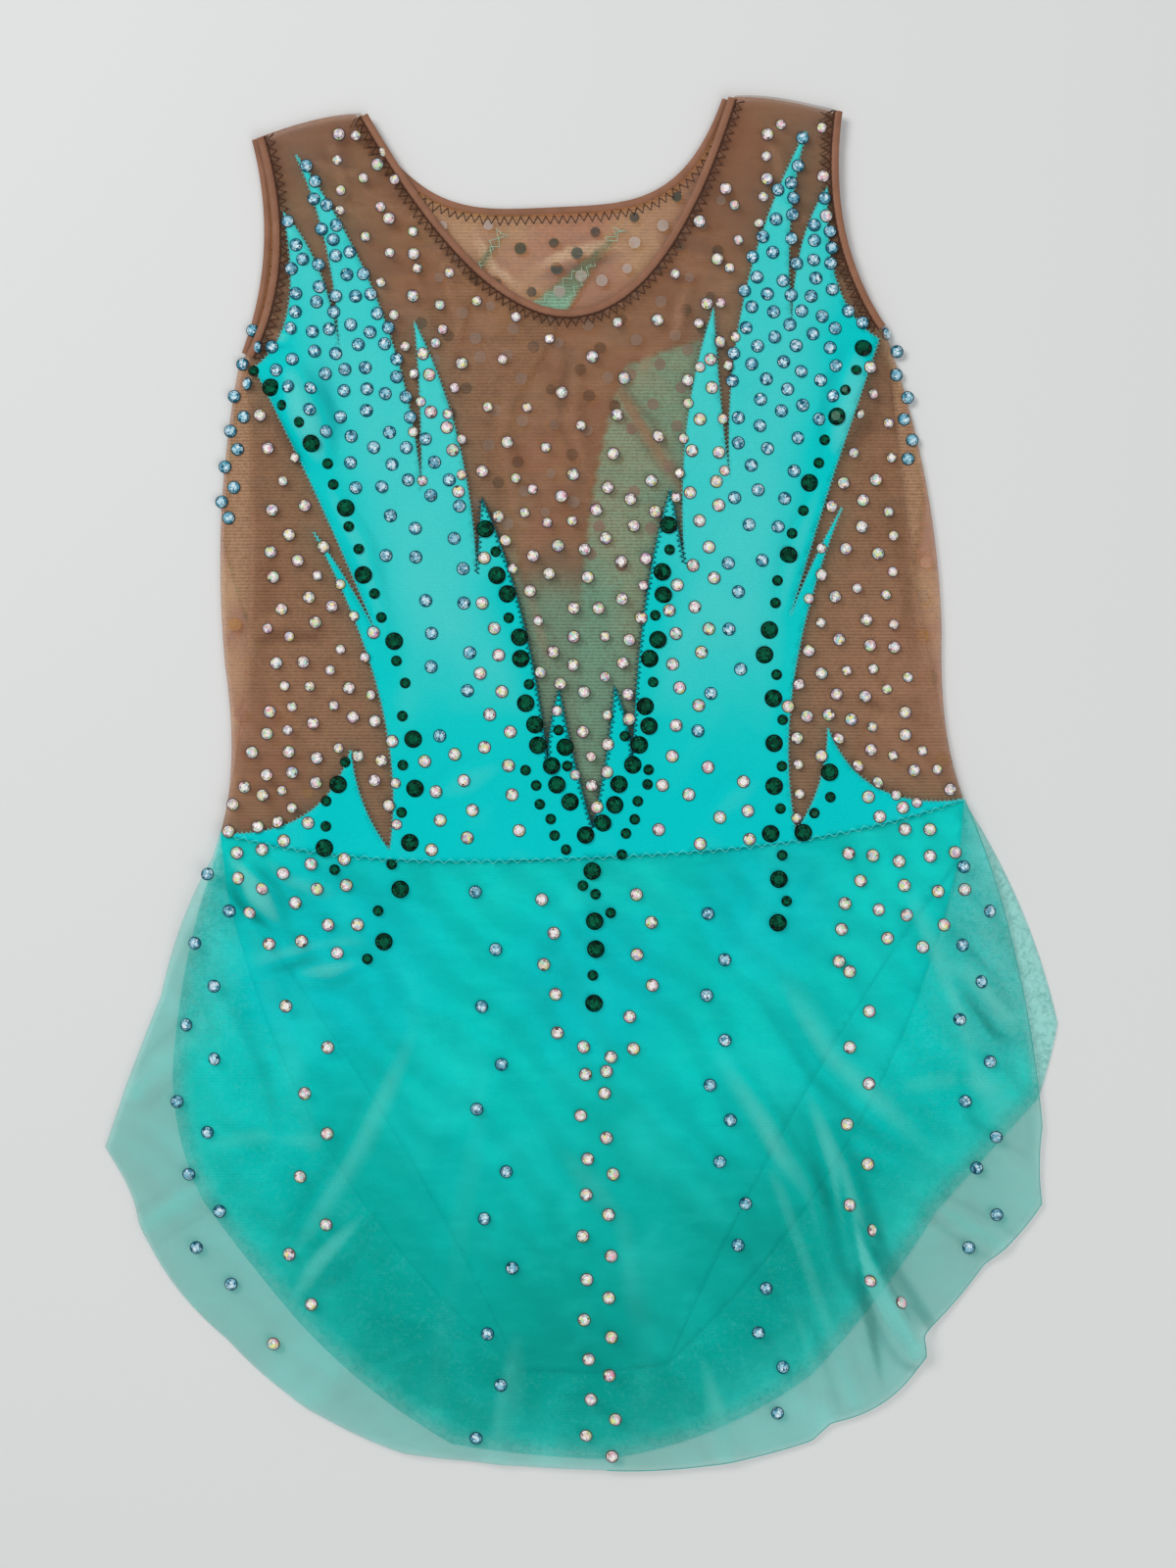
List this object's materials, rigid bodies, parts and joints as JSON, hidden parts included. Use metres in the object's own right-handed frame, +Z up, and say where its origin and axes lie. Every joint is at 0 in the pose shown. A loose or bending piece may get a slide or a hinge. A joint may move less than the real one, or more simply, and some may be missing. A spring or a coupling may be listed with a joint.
{
  "type": "rhythmic gymnastics leotard",
  "caption": "Child's sleeveless rhythmic gymnastics leotard with a sheer mesh body, flame appliques and a short two-layer skirt, laid flat with its front up.",
  "frame": {"origin": "on the surface the leotard lies on, under the middle of its bounding box", "axes": "+Y towards the shoulders, +X to the wearer's left (the viewer's right), +Z up out of its front"},
  "size_m": [0.344, 0.4956, 0.0099],
  "materials": {
    "body_mesh": "sheer skin-brown stretch mesh",
    "flame_lycra": "turquoise stretch jersey, airbrushed from pale to deep",
    "brief_lycra": "turquoise stretch jersey",
    "skirt_mesh": "sheer turquoise stretch mesh",
    "binding": "skin-brown folded elastic binding",
    "stitching": "zigzag and overlock thread",
    "clear_crystal": "flat-back crystal with a rainbow coating",
    "blue_crystal": "light blue flat-back crystal",
    "green_crystal": "dark emerald flat-back crystal"
  },
  "bodies": {
    "root": {"front_mesh": "body_mesh", "back_mesh": "body_mesh", "front_flames": "flame_lycra", "back_flame_left": "flame_lycra", "back_flame_right": "flame_lycra", "brief_front": "brief_lycra", "brief_back": "brief_lycra", "front_skirt": "skirt_mesh", "back_skirt": "skirt_mesh", "front_neck_binding": "binding", "back_neck_binding": "binding", "front_left_armhole_binding": "binding", "front_right_armhole_binding": "binding", "back_left_armhole_binding": "binding", "back_right_armhole_binding": "binding"}
  },
  "joints": []
}
